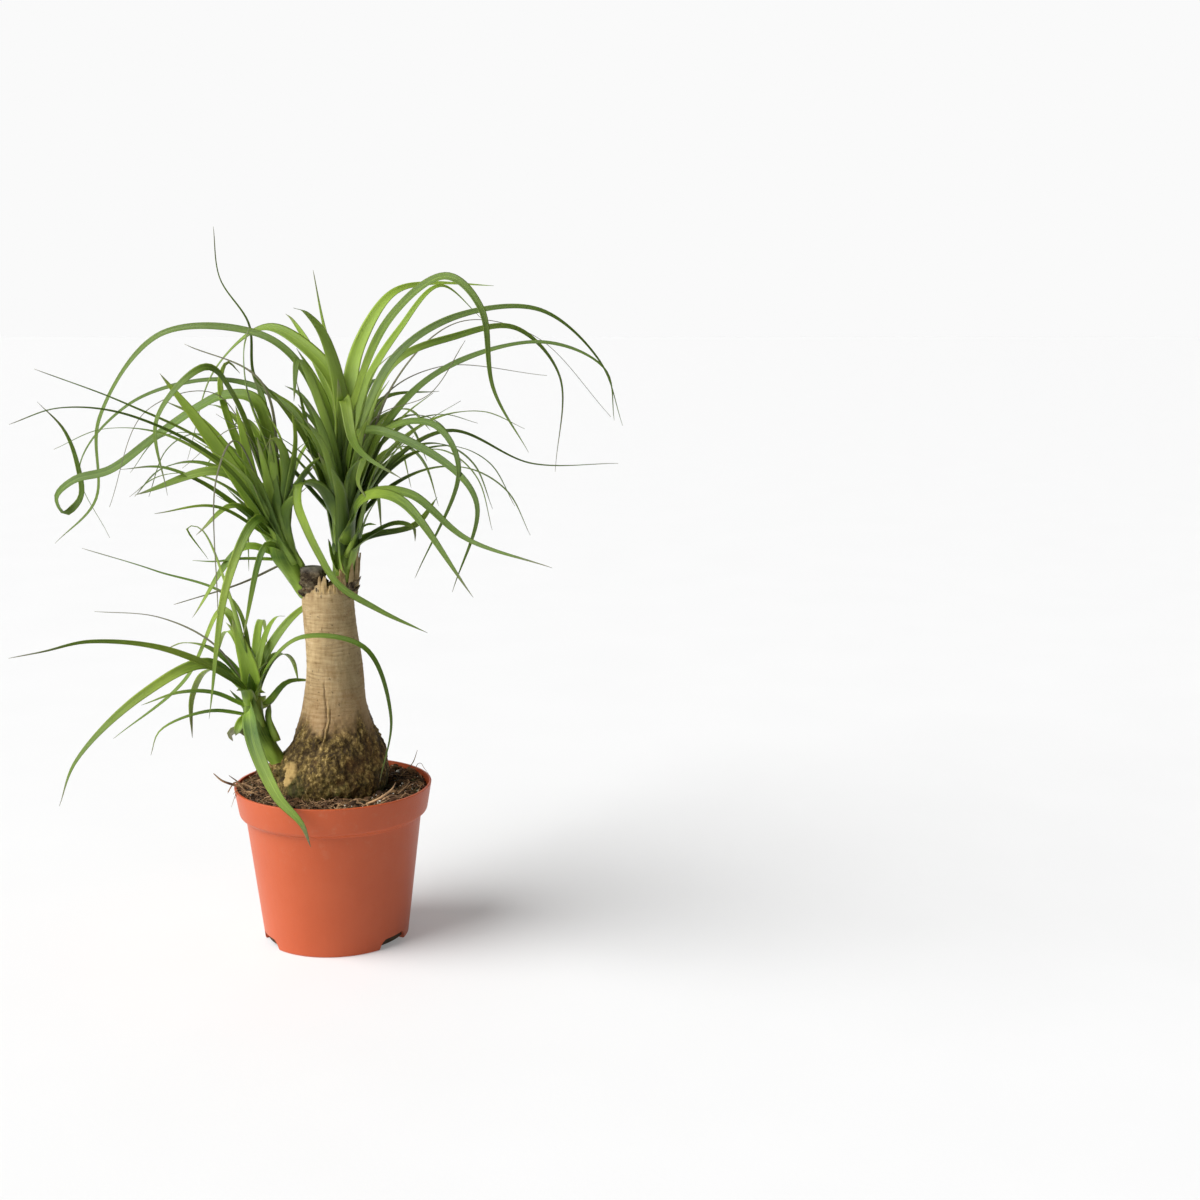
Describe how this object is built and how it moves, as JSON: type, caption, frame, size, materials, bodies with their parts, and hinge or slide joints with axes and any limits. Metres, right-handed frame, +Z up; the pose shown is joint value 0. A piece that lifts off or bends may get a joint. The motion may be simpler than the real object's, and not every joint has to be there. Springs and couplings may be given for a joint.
{
  "type": "potted ponytail palm",
  "caption": "Potted ponytail palm: a swollen woody trunk in a filled nursery pot, with arching strap leaves in rosettes on top and at its foot.",
  "frame": {"origin": "middle of the pot's underside, on the surface it stands on", "axes": "+Z up along the pot's axis, +X to the right and -Y towards the viewer of the front, where the offset is on the left"},
  "size_m": [0.3589, 0.3077, 0.4343],
  "materials": {
    "pot_plastic": "satin",
    "potting_soil": "matte",
    "bark": "matte",
    "leaf": "satin"
  },
  "bodies": {
    "root": {"pot": "pot_plastic", "soil": "potting_soil", "trunk": "bark", "left_head": "leaf", "right_head": "leaf", "offset_head": "leaf"}
  },
  "joints": []
}
